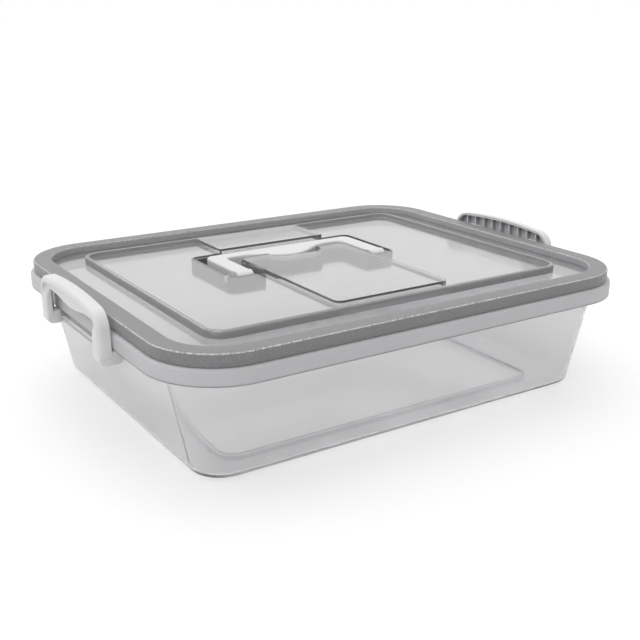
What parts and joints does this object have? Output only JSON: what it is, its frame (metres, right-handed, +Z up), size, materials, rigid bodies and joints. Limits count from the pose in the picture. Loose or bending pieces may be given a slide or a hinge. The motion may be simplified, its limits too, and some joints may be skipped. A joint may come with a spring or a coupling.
{
  "type": "dough proofing container",
  "caption": "Shallow clear tub with a grey-rimmed clear lid, a carry handle folded into the lid and a swing clip on each short side.",
  "frame": {"origin": "centre of the tub's foot, on the surface it stands on", "axes": "+X along the long side towards the right-hand clip, +Y towards the side that the folded grip points to, +Z up"},
  "size_m": [0.38, 0.2936, 0.1006],
  "materials": {
    "clear_tub": "translucent moulded polypropylene",
    "clear_lid": "clear moulded plastic",
    "grey_rim": "fine textured grey plastic",
    "white_plastic": "satin white polypropylene",
    "seal": "soft silicone"
  },
  "bodies": {
    "tub": {"tub": "clear_tub"},
    "lid": {"lid_panel": "clear_lid", "lid_rim": "grey_rim", "lid_seal": "seal"},
    "carry_handle": {"carry_handle": "white_plastic"},
    "left_clip": {"left_clip": "white_plastic"},
    "right_clip": {"right_clip": "white_plastic"}
  },
  "joints": [
    {"name": "lid_lift", "type": "slide", "parent": "tub", "child": "lid", "axis": [0, 0, 1], "range_m": [0, 0.12]},
    {"name": "handle_fold", "type": "hinge", "parent": "lid", "child": "carry_handle", "pos_m": [0, 0.007, 0.0846], "axis": [1, 0, 0], "range_deg": [0, 90]},
    {"name": "left_clip_open", "type": "hinge", "parent": "tub", "child": "left_clip", "pos_m": [-0.178, 0, 0.0681], "axis": [0, -1, 0], "range_deg": [0, 115]},
    {"name": "right_clip_open", "type": "hinge", "parent": "tub", "child": "right_clip", "pos_m": [0.178, 0, 0.0681], "axis": [0, 1, 0], "range_deg": [0, 115]}
  ]
}
